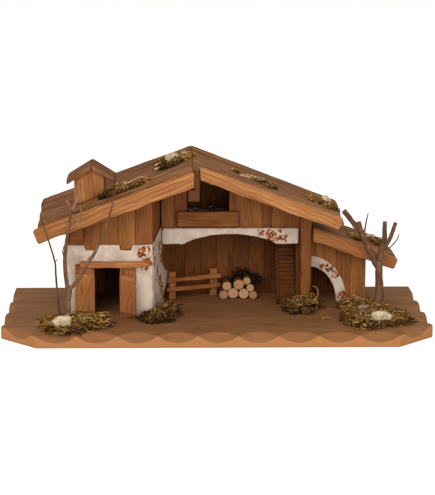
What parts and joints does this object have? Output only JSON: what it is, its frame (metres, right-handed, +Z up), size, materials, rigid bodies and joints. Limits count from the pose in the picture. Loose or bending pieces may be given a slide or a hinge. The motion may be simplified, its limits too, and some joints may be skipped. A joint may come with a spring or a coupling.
{
  "type": "nativity stable",
  "caption": "Wooden alpine nativity stable on a base board, with a plastered house, hinged doors, an open stall, a lean-to, gabled roof, chimney, trees and moss.",
  "frame": {"origin": "centre of the underside of the base board", "axes": "+Z up, +X to the right seen from the front, the open front faces -Y"},
  "size_m": [0.6, 0.29, 0.2404],
  "materials": {
    "base_wood": "brown stained softwood board, lighter where the edge is gouged",
    "wall_wood": "brown stained softwood boards",
    "dark_wood": "dark stained softwood, matt",
    "roof_wood": "weathered grey-brown roof boards",
    "hewn_wood": "light brown hewn softwood, satin",
    "door_wood": "light brown stained softwood",
    "log_wood": "raw branch wood with bark, pale sawn ends",
    "plaster": "board with a rough white plaster coat and bare brick patches",
    "bark": "dry grey-brown bark",
    "moss": "dry preserved moss, olive to straw yellow",
    "straw": "dark dry straw",
    "pale_stone": "pale rough pebble"
  },
  "bodies": {
    "stable": {"base_board": "base_wood", "back_wall": "dark_wood", "house_left_wall": "wall_wood", "house_front_plaster": "plaster", "house_plank_1": "wall_wood", "house_plank_2": "wall_wood", "house_plank_3": "wall_wood", "house_plank_4": "wall_wood", "house_plank_5": "wall_wood", "splay_wall": "dark_wood", "splay_plaster": "plaster", "gable_wall": "wall_wood", "arched_beam": "plaster", "loft_sill_board": "wall_wood", "loft_floor": "dark_wood", "stable_right_wall": "dark_wood", "corner_post": "hewn_wood", "lean_to_front_wall": "wall_wood", "lean_to_arch_plaster": "plaster", "lean_to_side_wall": "wall_wood", "roof_left_front": "roof_wood", "roof_left_middle": "roof_wood", "roof_left_rear": "roof_wood", "roof_right_front": "roof_wood", "roof_right_middle": "roof_wood", "roof_right_rear": "roof_wood", "ridge_beam": "wall_wood", "eave_block": "dark_wood", "fascia_left": "hewn_wood", "fascia_right": "hewn_wood", "lean_to_roof_front": "roof_wood", "lean_to_roof_rear": "roof_wood", "lean_to_fascia": "hewn_wood", "chimney_stack": "hewn_wood", "chimney_cap_left": "roof_wood", "chimney_cap_right": "roof_wood", "stair_steps": "dark_wood", "stair_stringer": "wall_wood", "fence_post_left": "door_wood", "fence_post_right": "door_wood", "fence_rail_low": "door_wood", "fence_rail_high": "door_wood", "firewood_pile": "log_wood", "door_jamb_left": "door_wood", "door_jamb_right": "door_wood", "door_lintel": "hewn_wood", "left_tree": "bark", "left_twig": "bark", "right_tree": "bark", "moss_left": "moss", "moss_corner": "moss", "moss_post": "moss", "moss_right": "moss", "moss_ridge": "moss", "moss_chimney": "moss", "stone_left": "pale_stone", "stone_right": "pale_stone", "loft_straw": "straw"},
    "left_door": {"door_leaf_left": "door_wood"},
    "right_door": {"door_leaf_right": "door_wood"}
  },
  "joints": [
    {"name": "left_door_hinge", "type": "hinge", "parent": "stable", "child": "left_door", "pos_m": [-0.1729, -0.0431, 0.05], "axis": [0, 0, 1], "range_deg": [0, 180]},
    {"name": "right_door_hinge", "type": "hinge", "parent": "stable", "child": "right_door", "pos_m": [-0.1347, -0.0479, 0.05], "axis": [0, 0, 1], "range_deg": [-144, 30]}
  ]
}
